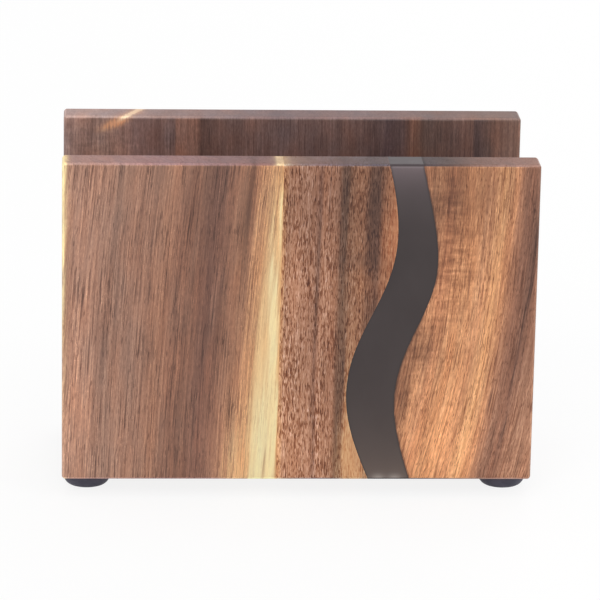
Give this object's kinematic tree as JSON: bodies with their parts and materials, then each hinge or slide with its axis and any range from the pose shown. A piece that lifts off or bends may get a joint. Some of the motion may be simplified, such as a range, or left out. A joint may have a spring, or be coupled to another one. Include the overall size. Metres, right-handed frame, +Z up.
{
  "type": "napkin holder",
  "caption": "Upright napkin holder: two upright hardwood plates on a base board, with an S-curved river of smoky resin cast into the front plate and round rubber feet.",
  "frame": {"origin": "on the resting surface, midway between the two plates and midway along their width", "axes": "+X left to right along the plates, +Y from the front plate with the resin river to the back plate, +Z up"},
  "size_m": [0.165, 0.08, 0.1209],
  "materials": {
    "mauve_brown_wood": "oiled hardwood, fine upright grain, satin",
    "orange_brown_wood": "oiled hardwood with short dark pores, satin",
    "golden_brown_wood": "oiled hardwood with cross figure, satin",
    "dark_brown_wood": "oiled dark hardwood, satin",
    "smoky_resin": "cast epoxy, smoky grey brown, sanded to a satin",
    "dowel_beech": "plain beech dowel",
    "foot_rubber": "moulded dark grey rubber, matt",
    "screw_steel": "zinc plated steel"
  },
  "bodies": {
    "root": {"front_left_board": "mauve_brown_wood", "front_middle_board": "orange_brown_wood", "resin_river": "smoky_resin", "front_right_board": "golden_brown_wood", "back_left_board": "dark_brown_wood", "back_centre_board": "dark_brown_wood", "back_right_board": "dark_brown_wood", "back_edge_board": "dark_brown_wood", "base_board": "orange_brown_wood", "front_dowel_left": "dowel_beech", "front_dowel_middle": "dowel_beech", "front_dowel_right": "dowel_beech", "back_dowel_left": "dowel_beech", "back_dowel_middle": "dowel_beech", "back_dowel_right": "dowel_beech", "foot_front_left": "foot_rubber", "foot_front_right": "foot_rubber", "foot_back_left": "foot_rubber", "foot_back_right": "foot_rubber", "foot_screw_front_left": "screw_steel", "foot_screw_front_right": "screw_steel", "foot_screw_back_left": "screw_steel", "foot_screw_back_right": "screw_steel"}
  },
  "joints": []
}
